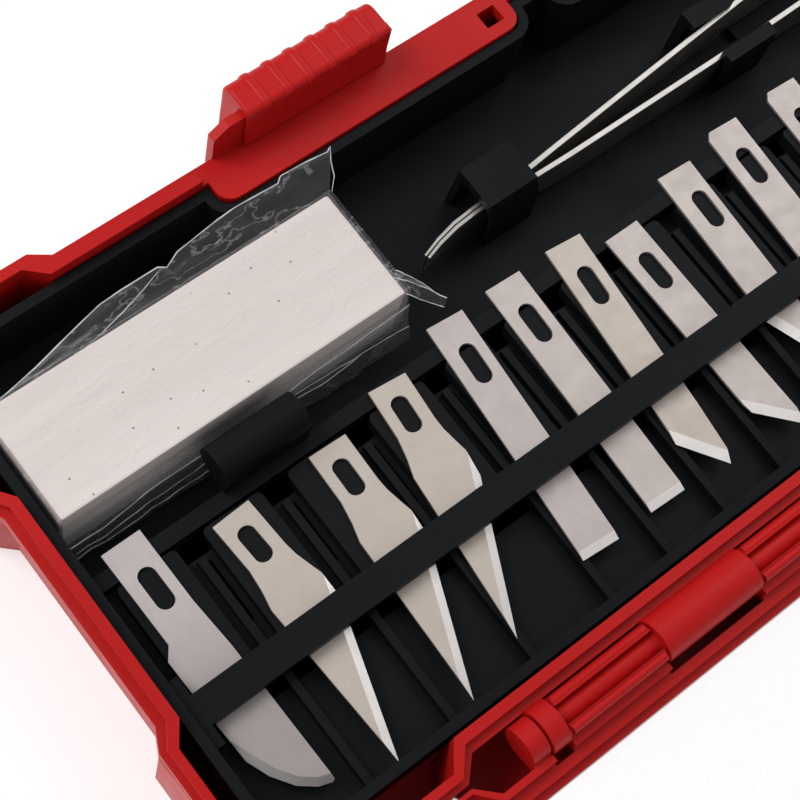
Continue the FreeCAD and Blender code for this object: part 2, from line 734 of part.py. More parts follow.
# ------------------------------------------------------------- build and write
pieces = [half_shell(1), half_shell(-1), base_tray(), lid_foam()]
for i, row in enumerate(BLADES, 1):
    pieces.append(blade(i, *row))
pieces += [latch("left"), latch("right"), whetstone(), stone_film()]
pieces += [tweezer_leg("rear"), tweezer_leg("front")]
for row in KNIVES:
    pieces += knife(*row)
if doc.getObject("Probe"):
    doc.removeObject("Probe")
# the frame's origin is the middle of the open case's footprint
for obj in pieces:
    if obj.Label == "whetstone":
        obj.setExpression("Placement.Base.y", expr("stone_back - footprint_shift"))
    else:
        obj.setExpression("Placement.Base.y", expr("-footprint_shift"))
doc.recompute()

for obj in doc.Objects:
    if "Invalid" in obj.State or "Error" in obj.State:
        raise RuntimeError("%s did not build: %s" % (obj.Name, obj.State))
os.makedirs("parts", exist_ok=True)
for obj in pieces:
    shape = obj.Shape
    if shape.isNull() or not shape.isValid() or shape.Volume <= 0:
        raise RuntimeError("%s has a bad shape" % obj.Label)
    if len(shape.Solids) != 1:
        raise RuntimeError("%s is %d solids" % (obj.Label, len(shape.Solids)))
for obj in pieces:
    obj.Shape.exportStep("parts/%s.step" % obj.Label)
    print(obj.Label, round(obj.Shape.Volume, 1))
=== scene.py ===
import bpy
import bmesh
import json
import math
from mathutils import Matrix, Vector, noise


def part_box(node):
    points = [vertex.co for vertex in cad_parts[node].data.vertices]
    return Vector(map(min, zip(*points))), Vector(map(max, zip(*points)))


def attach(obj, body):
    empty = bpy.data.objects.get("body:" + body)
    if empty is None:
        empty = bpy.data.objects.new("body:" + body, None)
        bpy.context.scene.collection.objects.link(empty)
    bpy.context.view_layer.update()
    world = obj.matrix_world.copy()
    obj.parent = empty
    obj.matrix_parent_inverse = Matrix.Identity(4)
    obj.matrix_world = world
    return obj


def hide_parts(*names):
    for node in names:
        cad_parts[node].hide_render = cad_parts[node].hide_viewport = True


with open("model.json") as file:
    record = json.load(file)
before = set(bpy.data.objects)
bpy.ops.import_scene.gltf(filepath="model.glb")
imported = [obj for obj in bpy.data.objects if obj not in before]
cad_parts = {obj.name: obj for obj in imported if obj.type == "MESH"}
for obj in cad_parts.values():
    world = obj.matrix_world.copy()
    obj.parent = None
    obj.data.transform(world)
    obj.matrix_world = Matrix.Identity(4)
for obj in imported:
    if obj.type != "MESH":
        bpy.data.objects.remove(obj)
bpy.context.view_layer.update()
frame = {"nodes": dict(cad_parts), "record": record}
NODES = frame["nodes"]
SLOTS = {s["node"]: s["material_slot"] for s in frame["record"]["subparts"]}
BODY = {}
for body, names in frame["record"]["behaviour"]["bodies"].items():
    for n in names:
        BODY[n] = body
MM = 0.001
# Places below are in millimetres: X from the case's middle, Y from the hinge
# line and Z from the table.  The frame's origin lies SHIFT in front of the
# hinge line, towards the half with the blades.
SHIFT = 1.85


# ------------------------------------------------------------------ materials
class Mat:
    """A small helper that builds one node material.  Texture scales are per
    metre and bump distances are metres."""

    def __init__(self, name, rough=0.5, metal=0.0):
        self.material = bpy.data.materials.new(name)
        self.material.use_nodes = True
        self.tree = self.material.node_tree
        self.shader = self.tree.nodes["Principled BSDF"]
        self.set("Roughness", rough)
        self.set("Metallic", metal)
        self.coord = self.tree.nodes.new("ShaderNodeTexCoord").outputs["Object"]

    def set(self, socket, v):
        self.shader.inputs[socket].default_value = v
        return self

    def node(self, kind, **props):
        n = self.tree.nodes.new("ShaderNode" + kind)
        for k, v in props.items():
            setattr(n, k, v)
        return n

    def link(self, a, b):
        self.tree.links.new(a, b)

    def mapped(self, scale=(1, 1, 1), turn=(0, 0, 0)):
        n = self.node("Mapping")
        n.inputs["Scale"].default_value = scale
        n.inputs["Rotation"].default_value = turn
        self.link(self.coord, n.inputs["Vector"])
        return n.outputs[0]

    def noise(self, scale, detail=3.0, rough=0.5, vec=None):
        n = self.node("TexNoise")
        n.inputs["Scale"].default_value = scale
        n.inputs["Detail"].default_value = detail
        n.inputs["Roughness"].default_value = rough
        self.link(vec or self.coord, n.inputs["Vector"])
        return n.outputs["Fac"]

    def ramp(self, fac, stops):
        n = self.node("ValToRGB")
        e = n.color_ramp.elements
        while len(e) < len(stops):
            e.new(0.5)
        for i, (p, c) in enumerate(stops):
            e[i].position = p
            e[i].color = (c, c, c, 1) if isinstance(c, float) else (*c, 1)
        self.link(fac, n.inputs["Fac"])
        return n.outputs["Color"]

    def span(self, fac, a, b, lo=0.0, hi=1.0):
        n = self.node("MapRange")
        n.inputs["From Min"].default_value = a
        n.inputs["From Max"].default_value = b
        n.inputs["To Min"].default_value = lo
        n.inputs["To Max"].default_value = hi
        self.link(fac, n.inputs["Value"])
        return n.outputs["Result"]

    def mix(self, fac, a, b, blend="MIX"):
        n = self.node("Mix", data_type="RGBA", blend_type=blend)
        for sock, v in ((n.inputs[0], fac), (n.inputs[6], a), (n.inputs[7], b)):
            if isinstance(v, (int, float)):
                sock.default_value = v
            elif isinstance(v, tuple):
                sock.default_value = (*v, 1)
            else:
                self.link(v, sock)
        return n.outputs[2]

    def math(self, op, a, b=0.0):
        n = self.node("Math", operation=op)
        for sock, v in ((n.inputs[0], a), (n.inputs[1], b)):
            if isinstance(v, (int, float)):
                sock.default_value = v
            else:
                self.link(v, sock)
        return n.outputs[0]

    def color(self, v):
        self.link(v, self.shader.inputs["Base Color"])
        return self

    def rough(self, v):
        self.link(v, self.shader.inputs["Roughness"])
        return self

    def bump(self, height, dist, strength=1.0, then=None):
        n = self.node("Bump")
        n.inputs["Distance"].default_value = dist
        n.inputs["Strength"].default_value = strength
        self.link(height, n.inputs["Height"])
        if then:
            self.link(then, n.inputs["Normal"])
        self.link(n.outputs[0], self.shader.inputs["Normal"])
        return n.outputs[0]


def red_plastic(name):
    m = Mat(name)
    broad = m.noise(35, 2, vec=m.mapped((0.5, 1.2, 1)))
    fine = m.noise(2400, 2)
    m.color(m.mix(m.span(broad, 0.3, 0.7), (0.42, 0.0065, 0.006), (0.48, 0.0090, 0.0080)))
    m.rough(m.span(m.noise(160, 3), 0.3, 0.7, 0.33, 0.46))
    a = m.bump(fine, 0.00001, 0.35)
    m.bump(m.noise(420, 2), 0.00002, 0.3, a)
    m.set("Specular IOR Level", 0.17)
    return m.material


def black_plastic(name):
    m = Mat(name)
    broad = m.noise(26, 3)
    specks = m.node("TexVoronoi", feature="F1")
    specks.inputs["Scale"].default_value = 170
    m.link(m.coord, specks.inputs["Vector"])
    dust = m.ramp(specks.outputs["Distance"], [(0.0, 1.0), (0.035, 0.0)])
    lint = m.math("MULTIPLY", dust, m.ramp(m.noise(60, 1), [(0.60, 0.0), (0.66, 1.0)]))
    base = m.mix(m.span(broad, 0.3, 0.7), (0.0036, 0.0039, 0.0046), (0.0056, 0.0060, 0.0071))
    m.color(m.mix(m.math("MULTIPLY", lint, 0.4), base, (0.09, 0.09, 0.095)))
    m.rough(m.span(m.noise(90, 4), 0.25, 0.75, 0.40, 0.58))
    m.bump(m.noise(1900, 3), 0.000012, 0.5)
    m.set("Specular IOR Level", 0.12)
    m.set("Specular Tint", (0.86, 0.93, 1.0, 1))
    return m.material


def steel(name, tint, rough=(0.46, 0.60), brush=(1, 1, 1), metal=1.0, tip_darkening=0.0):
    m = Mat(name, metal=metal)
    lines = m.noise(900, 4, 0.6, m.mapped(brush))
    cloud = m.noise(160, 4)
    spots = m.ramp(m.noise(1500, 3), [(0.27, 1.0), (0.33, 0.0)])
    low = tuple(c * 0.94 for c in tint)
    c = m.mix(m.span(cloud, 0.32, 0.68), low, tint)
    c = m.mix(m.math("MULTIPLY", m.span(lines, 0.35, 0.65), 0.18), c, tuple(x * 0.72 for x in tint))
    if tip_darkening:
        # darker towards the cutting end
        xyz = m.node("SeparateXYZ")
        m.link(m.coord, xyz.inputs[0])
        c = m.mix(m.span(xyz.outputs["Y"], 0.026, 0.040, tip_darkening, 0.0), c, (0.18, 0.16, 0.155))
    m.color(m.mix(m.math("MULTIPLY", spots, 0.22), c, (0.30, 0.26, 0.22)))
    m.rough(m.span(m.noise(400, 3), 0.3, 0.7, *rough))
    m.bump(lines, 0.000008, 0.5)
    return m.material


MATS = {
    "red_shell": red_plastic("red_shell"),
    "red_latch": red_plastic("red_latch"),
    "black_insert": black_plastic("black_insert"),
    "blade_warm": steel("blade_warm", (0.56, 0.495, 0.44), brush=(0.5, 4, 1), metal=0.7),
    "blade_steel": steel("blade_steel", (0.56, 0.50, 0.47), brush=(0.5, 4, 1), metal=0.7),
    "blade_cool": steel("blade_cool", (0.54, 0.485, 0.47), brush=(3, 0.6, 1), metal=0.7),
    "blade_stained": steel("blade_stained", (0.53, 0.48, 0.475), brush=(3, 0.6, 1), metal=0.7, tip_darkening=0.42),
    "blade_bevel": steel("blade_bevel", (0.76, 0.73, 0.71), (0.34, 0.46), (1, 8, 1), 0.8),
    "blade_grind": steel("blade_grind", (0.33, 0.31, 0.30), (0.40, 0.52), (1, 8, 1), 0.7),
    "blade_chisel": steel("blade_chisel", (0.96, 0.92, 0.90), (0.40, 0.52), (1, 8, 1), 0.55),
    "tweezer_steel": steel("tweezer_steel", (0.52, 0.50, 0.475), (0.30, 0.42), (0.05, 1, 1)),
    "handle_metal": steel("handle_metal", (0.50, 0.50, 0.51), (0.30, 0.40), (6, 0.3, 0.3)),
    "nut_metal": steel("nut_metal", (0.46, 0.46, 0.47), (0.30, 0.42), (6, 0.3, 0.3)),
    "collet_metal": steel("collet_metal", (0.60, 0.40, 0.16), (0.26, 0.38), (6, 0.3, 0.3)),
}


def stone_material():
    m = Mat("white_stone")
    grain = m.noise(1300, 4, 0.7)
    streak = m.noise(60, 4, 0.55, m.mapped((0.16, 2.4, 1), (0, 0, 0.06)))
    veins = m.noise(110, 3, 0.5, m.mapped((0.1, 2.0, 1), (0, 0, 0.06)))
    c = m.mix(m.span(streak, 0.35, 0.68), (0.64, 0.572, 0.548), (0.722, 0.657, 0.632))
    thin = m.ramp(veins, [(0.47, 0.0), (0.50, 1.0), (0.53, 0.0)])
    c = m.mix(m.math("MULTIPLY", thin, 0.28), c, (0.60, 0.53, 0.50))
    spots = m.node("TexVoronoi", feature="F1", voronoi_dimensions="2D")
    spots.inputs["Scale"].default_value = 150
    m.link(m.coord, spots.inputs["Vector"])
    near = m.ramp(spots.outputs["Distance"], [(0.0, 1.0), (0.016, 1.0), (0.03, 0.0)])
    few = m.ramp(m.noise(75, 2), [(0.49, 0.0), (0.52, 1.0)])
    c = m.mix(m.math("MULTIPLY", m.math("MULTIPLY", near, few), 0.9), c, (0.12, 0.09, 0.08))
    m.color(c)
    m.set("Roughness", 0.85)
    m.bump(grain, 0.00003, 0.4)
    return m.material


def foam_material():
    m = Mat("white_foam")
    cells = m.node("TexVoronoi", feature="F1")
    cells.inputs["Scale"].default_value = 1500
    m.link(m.coord, cells.inputs["Vector"])
    m.color(m.mix(m.noise(500, 3), (0.88, 0.88, 0.885), (0.93, 0.93, 0.93)))
    m.set("Roughness", 0.95)
    m.bump(cells.outputs["Distance"], 0.00008, 0.4)
    # painted light: the foam glows a little of its own, which keeps it near white
    m.set("Emission Color", (1, 1, 1, 1))
    m.set("Emission Strength", 0.1)
    return m.material


def film_material():
    m = Mat("clear_film")
    facing = m.node("LayerWeight")
    facing.inputs["Blend"].default_value = 0.35
    wrinkles = m.noise(170, 3, 0.55, m.mapped((1, 2.2, 1.4)))
    crease = m.ramp(wrinkles, [(0.525, 0.0), (0.55, 1.0), (0.575, 0.0)])
    # the film shows most where it is seen edge on, and along its creases
    rim = m.math("MULTIPLY", m.math("POWER", facing.outputs["Facing"], 2.2), 0.55)
    seen = m.math("ADD", rim, m.math("MULTIPLY", crease, 0.13))
    m.color(m.mix(m.noise(60, 2), (0.80, 0.80, 0.83), (0.92, 0.92, 0.92)))
    m.link(m.math("ADD", seen, 0.035), m.shader.inputs["Alpha"])
    m.set("Roughness", 0.12)
    m.set("Specular IOR Level", 0.75)
    m.bump(m.noise(420, 3, vec=m.mapped((1, 2, 1))), 0.00008, 0.45)
    return m.material


def film_edge_material():
    """The film's cut edges and sharp folds, which catch the light in places."""
    m = Mat("film_edge", 0.25)
    m.color(m.mix(m.noise(300, 2), (0.62, 0.62, 0.66), (0.86, 0.86, 0.88)))
    m.link(m.span(m.noise(220, 3), 0.3, 0.6, 0.25, 0.95), m.shader.inputs["Alpha"])
    m.set("Specular IOR Level", 0.8)
    return m.material


MATS["white_stone"] = stone_material()
MATS["white_foam"] = foam_material()
MATS["clear_film"] = film_material()
MATS["film_edge"] = film_edge_material()


# --------------------------------------------------------------- mesh helpers
def put(name, bm, mats, body, nodes=()):
    """A finished mesh as one piece of the visual model."""
    me = bpy.data.meshes.new(name)
    bm.to_mesh(me)
    bm.free()
    ob = bpy.data.objects.new(name, me)
    bpy.context.scene.collection.objects.link(ob)
    for m in mats:
        me.materials.append(m)
    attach(ob, body)
    if nodes:
        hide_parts(*nodes)
    return ob


WELD = 2e-6  # metres: points nearer than this are one
COPLANAR = 0.6  # degrees: faces nearer than this are one


def from_node(node):
    """The node's mesh with its flat faces whole again."""
    bm = bmesh.new()
    bm.from_mesh(NODES[node].data)
    bmesh.ops.remove_doubles(bm, verts=bm.verts, dist=WELD)
    bmesh.ops.dissolve_limit(bm, angle_limit=math.radians(COPLANAR), verts=bm.verts, edges=bm.edges)
    bmesh.ops.dissolve_degenerate(bm, dist=WELD, edges=bm.edges)
    return bm


def apply_all(ob):
    """Turn the piece's modifiers into mesh."""
    graph = bpy.context.evaluated_depsgraph_get()
    me = bpy.data.meshes.new_from_object(ob.evaluated_get(graph))
    ob.modifiers.clear()
    old = ob.data
    ob.data = me
    bpy.data.meshes.remove(old)


def rounded(ob, width, segments=2, angle=32):
    """Bevel every edge sharper than the angle, in the mesh itself."""
    mod = ob.modifiers.new("round", "BEVEL")
    mod.width = width * MM
    mod.segments = segments
    mod.limit_method = "ANGLE"
    mod.angle_limit = math.radians(angle)
    mod.use_clamp_overlap = True
    mod.loop_slide = True
    mod.miter_outer = "MITER_ARC"
    mod.harden_normals = False
    apply_all(ob)
    return ob


def smooth(ob, angle=40):
    """Smooth shading, except across edges sharper than the angle."""
    me = ob.data
    me.polygons.foreach_set("use_smooth", [True] * len(me.polygons))
    bm = bmesh.new()
    bm.from_mesh(me)
    limit = math.radians(angle)
    for e in bm.edges:
        e.smooth = not (len(e.link_faces) == 2 and e.calc_face_angle(0) > limit)
    bm.to_mesh(me)
    bm.free()
    return ob


def bridge(bm, rings, closed=True):
    """Join each row of points to the next with quads."""
    for a, b in zip(rings, rings[1:]):
        for k in range(len(a) if closed else len(a) - 1):
            j = (k + 1) % len(a)
            bm.faces.new((a[k], a[j], b[j], b[k]))


def lerp(a, b, t):
    return a + (b - a) * t


# ------------------------------------------- nodes kept in shape, edges rounded
def dressed(node, mat, width, segments=2, edit=None):
    """The node's own shape with rounded edges and a better material."""
    bm = from_node(node)
    if edit:
        edit(bm)
    ob = put("vis_" + node, bm, [mat], BODY[node], [node])
    rounded(ob, width, segments)
    smooth(ob)
    # the large flat faces keep flat shading beside their rounded edges
    mod = ob.modifiers.new("flats", "WEIGHTED_NORMAL")
    mod.keep_sharp = True
    mod.weight = 100
    apply_all(ob)
    return ob


EDGE_WIDTHS = {
    "base_shell": 0.45,
    "lid_shell": 0.45,
    "base_tray": 0.35,
    "lid_foam": 0.5,
    "whetstone": 0.5,
    "tweezer_leg_rear": 0.15,
    "tweezer_leg_front": 0.15,
}
# painted shade: the base's web under the hinge is a sheet that closes the hinge gap, so that the gap reads
# dark
WEB_TOP = 5.6  # the web under the hinge lies below this
WEB_EDGE = -3.8  # the CAD web's edge on the lid's side is just past this
NEAR_LID = -4.83  # just short of the lid's wall


def widen_shade_web(bm):
    """Bring the web under the hinge close to the lid's wall. Painted shade: the web is a red sheet that
    closes the gap under the hinge, so that the gap reads dark and no pale floor shows through.
    """
    for v in bm.verts:
        if v.co.z < WEB_TOP * MM and v.co.y < (WEB_EDGE - SHIFT) * MM:
            v.co.y = (NEAR_LID - SHIFT) * MM


for node, width in EDGE_WIDTHS.items():
    dressed(node, MATS[SLOTS[node]], width, 2, widen_shade_web if node == "base_shell" else None)


# -------------------------------------------------------------------- latches
LATCH_NEAR, LATCH_FAR = 26.0, 51.6  # the slider's two ends in X
LATCH_TOP = 26.42
LATCH_OUT = 96.6  # its outer face
LATCH_FOOT = 12.05  # the underside of the foot that grips the rail
LATCH_ROUND = 0.5
RIBS = 6
RIB_START = 2.76  # from the far end to the first rib
RIB_PITCH = 3.82
RIB_WIDTH = 1.55
RIB_HEIGHT = 0.25
RIB_ROOT = -0.12  # a rib's sides start this far inside the skin


def arc(y, z, radius, start, end, steps=6):
    """Points (y, z) along an arc between two angles in degrees."""
    points = []
    for k in range(steps + 1):
        angle = math.radians(lerp(start, end, k / steps))
        points.append((y + radius * math.cos(angle), z + radius * math.sin(angle)))
    return points


def latch_section():
    """The slider's section across the rail as (y, z), clockwise, in two
    parts: the skin round to the foot, and the hollow behind it."""
    inner, outer = 1.05, 2.1  # the top's two rounded corners
    skin = [(89.93, 18.4), (90.25, 22.0)]
    skin += arc(91.3, LATCH_TOP - inner, inner, 172, 90)
    skin += arc(LATCH_OUT - outer, LATCH_TOP - outer, outer, 90, 0, 8)
    skin += [(LATCH_OUT, z) for z in (21.0, 17.5, 14.2, 12.6)]
    skin += [(LATCH_OUT - 0.6, LATCH_FOOT), (90.5, LATCH_FOOT), (89.95, 12.5), (89.95, 14.4)]
    hollow = [(90.4, 14.86), (92.68, 14.86), (92.68, 25.06), (90.84, 25.06), (90.84, 18.4)]
    return skin, hollow


def outward(before, after):
    """The direction out of a clockwise section, from a point's neighbours."""
    along_skin = (Vector(after) - Vector(before)).normalized()
    return Vector((-along_skin.y, along_skin.x))


def latch_core(bm, side):
    """The slider without its ribs: the section swept along X, its skin drawn
    in at both ends on a quarter circle."""
    skin, hollow = latch_section()
    points = skin + hollow
    angles = [math.pi / 2 * k / 6 for k in range(7)]
    ends = [(LATCH_ROUND * (1 - math.cos(a)), LATCH_ROUND * (1 - math.sin(a))) for a in angles]
    spans = [(LATCH_NEAR + back, inset) for back, inset in ends]
    spans += [(LATCH_FAR - back, inset) for back, inset in reversed(ends)]
    rings = []
    for x, inset in spans:
        ring = []
        for k, (y, z) in enumerate(points):
            out = outward(points[k - 1], points[(k + 1) % len(points)])
            out *= inset if k < len(skin) else 0.0
            ring.append(bm.verts.new((side * x * MM, (y - SHIFT - out.x) * MM, (z - out.y) * MM)))
        rings.append(ring)
    bridge(bm, rings)
    bm.faces.new(rings[0])
    bm.faces.new(rings[-1])


def latch_rib(bm, side, x0, x1):
    """One grip rib over the slider's skin, fading out at its two ends."""
    points = latch_section()[0][1:-5]
    last = len(points) - 1
    steps = ((0, RIB_ROOT), (0.16, 0.14), (0.45, RIB_HEIGHT))
    spans = [(x0 + dx, up) for dx, up in steps] + [(x1 - dx, up) for dx, up in reversed(steps)]
    rings = []
    for x, up in spans:
        ring = []
        for k, (y, z) in enumerate(points):
            out = outward(points[max(0, k - 1)], points[min(last, k + 1)])
            out *= up * min(1.0, k / 1.5, (last - k) / 1.5) if up > 0 else up
            ring.append(bm.verts.new((side * x * MM, (y - SHIFT + out.x) * MM, (z + out.y) * MM)))
        rings.append(ring)
    bridge(bm, rings, closed=False)
    for k in (0, -1):
        bm.faces.new([ring[k] for ring in rings])


def make_latch(node, side):
    bm = bmesh.new()
    latch_core(bm, side)
    for k in range(RIBS):
        x1 = LATCH_FAR - RIB_START - RIB_PITCH * k
        latch_rib(bm, side, x1 - RIB_WIDTH, x1)
    bmesh.ops.recalc_face_normals(bm, faces=bm.faces)
    ob = put("vis_" + node, bm, [MATS["red_latch"]], BODY[node], [node])
    return smooth(ob, 38)


make_latch("latch_left", -1)
make_latch("latch_right", 1)


# --------------------------------------------------------------------- blades
# kind, the tang's middle and its top end in plan, lean in degrees, length: as in the CAD
BLADES = [
    ("belly", -98.85, 53.4, 0.5, 42.0),
    ("point", -84.55, 48.2, 3.3, 40.0),
    ("point", -67.95, 48.4, -1.7, 40.0),
    ("point", -55.35, 51.0, -5.3, 40.0),
    ("chisel", -42.55, 53.9, -4.7, 39.7),
    ("chisel", -31.7, 53.8, -2.3, 39.7),
    ("slant", -20.3, 53.5, -5.5, 40.5),
    ("hook", -11.65, 50.0, 0.3, 38.8),
    ("long_slant", 1.85, 53.2, -3.1, 40.0),
    ("gouge", 13.0, 54.8, -3.4, 40.2),
    ("gouge", 25.6, 54.9, -3.0, 40.2),
    ("vee", 36.4, 53.6, -2.2, 39.8),
    ("gouge", 47.8, 54.2, -1.6, 40.0),
    ("chisel", 59.4, 53.4, -2.4, 39.4),
    ("vee", 70.8, 54.0, -1.2, 40.0),
    ("slant", 82.4, 53.6, -2.0, 40.3),
    ("chisel", 94.2, 53.8, -1.4, 39.7),
]
TINTS = {1: "stained", 2: "warm", 3: "warm", 4: "warm", 5: "cool", 7: "warm"}  # the others: steel
GROUND = {"point": "bevel", "belly": "grind"}  # the others: chisel
GRIND_DEPTH = 0.86  # the share of the thickness ground away at an edge
# how far a slot lies from the CAD's place, across and along, and its share of
# the CAD's length
SLOT_MOVES = {"point": (-0.1, 0.0, 0.88), "long_slant": (0.6, -0.3, 1.0)}
USUAL_MOVE = (0.2, -0.3, 1.0)
# only the slot's points lie this near the blade's middle line and between
# these two distances from the tang's end
SLOT_REACH, SLOT_FROM, SLOT_TO = 2.3, 2, 17


def ground_edges(kind, length):
    """Each cutting edge in the blade's own plane, and the bevel's width."""
    half = 3.125  # half the tang's width
    if kind == "point":
        return [((4.2, 18.0), (-4.35, length))], 1.25
    if kind == "belly":
        rim = [(-half - 1.0, 29.6), (-4.0, 33.2), (-2.7, 36.6), (-0.7, 39.6), (1.5, 41.4), (3.4, 42.1)]
        return list(zip(rim, rim[1:])), 1.15
    if kind == "gouge":
        rim = [(-2.2, length - 2.2), (-1.0, length - 0.4), (1.0, length - 0.4), (2.2, length - 2.2)]
        return list(zip(rim, rim[1:])), 0.9
    if kind == "vee":
        rim = [(-half, length - 5), (0, length), (half, length - 5)]
        return list(zip(rim, rim[1:])), 1.1
    # one straight edge: where it starts, how far it rises, where it ends
    start, rise, end, wide = {
        "chisel": (-half, 0.0, half, 1.35),
        "slant": (-half - 0.1, 6.4, 2.2, 1.6),
        "hook": (-half + 0.4, 5.8, 2.6, 1.5),
        "long_slant": (-half, 13.0, 2.6, 1.5),
    }[kind]
    return [((start, length - rise), (end, length))], wide


def segment_gap(p, a, b):
    """The distance from a point to the stretch between two others."""
    ab = b - a
    t = max(0.0, min(1.0, (p - a).dot(ab) / ab.length_squared))
    return (p - (a + ab * t)).length


def move_slot(bm, kind, in_blade, place):
    """Put the tang's slot where this blade has it."""
    across, along_tang, share = SLOT_MOVES.get(kind, USUAL_MOVE)
    slot = []
    for v in bm.verts:
        u, w = in_blade(v.co)
        if abs(u) < SLOT_REACH and SLOT_FROM < w < SLOT_TO:
            slot.append((v, u, w))
    centre = (min(w for _, _, w in slot) + max(w for _, _, w in slot)) / 2
    for v, u, w in slot:
        spot = place(u + across, centre + (w - centre) * share + along_tang)
        v.co.x, v.co.y = spot.x, spot.y


def grind(bm, lines, wide, middle):
    """Slope the top down to the cutting edges, and give the slopes the
    second material."""
    top = max(v.co.z for v in bm.verts)
    thick = top - min(v.co.z for v in bm.verts)

    def edge_gap(p):
        return min(segment_gap(Vector((p.x, p.y, 0)), a, b) for a, b in lines)

    for a, b in lines:
        side = Vector((-(b - a).y, (b - a).x, 0)).normalized()
        if side.dot(middle - a) < 0:
            side = -side
        geom = bm.verts[:] + bm.edges[:] + bm.faces[:]
        bmesh.ops.bisect_plane(bm, geom=geom, dist=1e-7, plane_co=a + side * wide, plane_no=side)
    for f in bm.faces:
        near = edge_gap(f.calc_center_median())
        f.material_index = 1 if f.normal.z > 0.9 and near < wide * 0.93 else 0
    for v in bm.verts:
        if v.co.z < top - 1e-6:
            continue
        near = edge_gap(v.co)
        if near < wide:
            v.co.z -= (1 - near / wide) * thick * GRIND_DEPTH


def make_blade(index, kind, x, y, lean, length):
    node = "blade_%02d" % index
    cosine = math.cos(math.radians(lean))
    sine = math.sin(math.radians(lean))

    def place(u, w):
        """A point across and along the blade, in the frame and in metres."""
        return Vector(((x + u * cosine + w * sine) * MM, (y + u * sine - w * cosine - SHIFT) * MM, 0))

    def in_blade(p):
        """The other way round: a point of the frame across and along the blade."""
        dx, dy = p.x / MM - x, p.y / MM + SHIFT - y
        return dx * cosine + dy * sine, dx * sine - dy * cosine

    bm = from_node(node)
    move_slot(bm, kind, in_blade, place)
    edges, wide = ground_edges(kind, length)
    lines = [(place(*a), place(*b)) for a, b in edges]
    grind(bm, lines, wide * MM, place(0, length / 2))
    mats = [MATS["blade_" + TINTS.get(index, "steel")], MATS["blade_" + GROUND.get(kind, "chisel")]]
    ob = put("vis_" + node, bm, mats, BODY[node], [node])
    rounded(ob, 0.05, 1, 50)
    return smooth(ob, 12)


for i, row in enumerate(BLADES, 1):
    make_blade(i, *row)


# -------------------------------------------------------------------- handles
LATHE_STEPS = 96
KNURL_PITCH = 1.3
EASE = 0.35  # the eased ends of the turned parts


def lathe(node, mat, profile, y, z, knurl):
    """A turned piece along X from (x, radius) pairs.  Its knurl is a start
    and an end in X and a depth, and is a pattern of fine diamonds."""
    start, end, depth = knurl
    bm = bmesh.new()
    rings = []
    for x, r in profile:
        ring = []
        for k in range(LATHE_STEPS):
            t = 2 * math.pi * k / LATHE_STEPS
            deep = 0.0
            if start < x < end and r > 2:
                rising = math.sin(t * LATHE_STEPS / 4 + (x - start) * math.pi / KNURL_PITCH)
                falling = math.sin(t * LATHE_STEPS / 4 - (x - start) * math.pi / KNURL_PITCH)
                deep = depth * (1 - max(0.0, rising) * max(0.0, falling))
            away = (r - deep) * MM
            spot = (x * MM, (y - SHIFT) * MM + away * math.sin(t), z * MM + away * math.cos(t))
            ring.append(bm.verts.new(spot))
        rings.append(ring)
    bridge(bm, rings)
    bmesh.ops.recalc_face_normals(bm, faces=bm.faces)
    ob = put("vis_" + node, bm, [mat], BODY[node], [node])
    return smooth(ob, 35)


def stretch(x0, x1, r, step=0.45):
    """Points between two x values, close enough together to carry a knurl."""
    n = max(1, int((x1 - x0) / step))
    return [(x0 + (x1 - x0) * i / n, r) for i in range(1, n)]


def barrel_profile(r, bore):
    rear = [(-60, bore), (-60, r - EASE), (-60 + EASE, r)]
    ring = [(-30, r), (-29.6, r - 0.4), (-28.6, r - 0.4), (-28.2, r)]
    waist = [(-4, r), (-3.4, r * 0.86), (-2.6, r * 0.86), (-2, r)]
    grip = [(-1, r)] + stretch(-1, 21, r) + [(21, r)]
    neck = [(22, r), (22.6, r * 0.88), (24.4, r * 0.88), (25, r)]
    front = [(28 - EASE, r), (28, r - EASE), (28, bore), (-60, bore)]
    return rear + ring + waist + grip + neck + front


def nut_profile(r, bore):
    rear = [(28.2, bore), (28.2, r - EASE), (28.2 + EASE, r)]
    grip = [(29.4, r)] + stretch(29.4, 40.6, r) + [(40.6, r)]
    nose = [(41.7, r), (42.3, r * 0.97), (53.6, r * 0.73), (54, r * 0.69), (54, bore), (28.2, bore)]
    return rear + grip + nose


def cap_profile(r):
    dome = [(-69.9, 0.05), (-70, r * 0.5), (-69.9, r * 0.74), (-69.6, r * 0.82), (-68, r - 0.1), (-67.6, r)]
    grip = [(-66.8, r)] + stretch(-66.8, -61.4, r) + [(-61.4, r)]
    plug = [(-60.6, r), (-60.1, r - 0.3), (-60.1, r * 0.5), (-50, r * 0.48), (-50, 0.05)]
    return dome + grip + plug


# each handle's name, radius and axis (y, z)
for name, r, y, z in (("large", 6.5, -36.5, 10.9), ("mid", 5.0, -54.0, 9.6), ("small", 4.0, -70.0, 8.6)):
    bore = r * 0.52
    pre = "knife_%s_" % name
    lathe(pre + "barrel", MATS["handle_metal"], barrel_profile(r, bore), y, z, (-1, 21, 0.22))
    lathe(pre + "nut", MATS["nut_metal"], nut_profile(r, bore), y, z, (29.4, 40.6, 0.24))
    lathe(pre + "cap", MATS["nut_metal"], cap_profile(r), y, z, (-66.8, -61.4, 0.2))
    dressed(pre + "collet", MATS["collet_metal"], 0.12, 1)


# ----------------------------------------------------------------- stone wrap
def crumple(p, amount, scale, seed):
    """A sharp-creased offset, the same each run."""
    q = Vector((p.x * scale + seed, p.y * scale * 1.6 + seed * 0.37, p.z * scale * 1.3))
    a = 1 - abs(noise.noise(q)) * 2.2
    b = 1 - abs(noise.noise(q * 2.3 + Vector((7, 3, 1)))) * 2.2
    return amount * (0.62 * a + 0.38 * b)


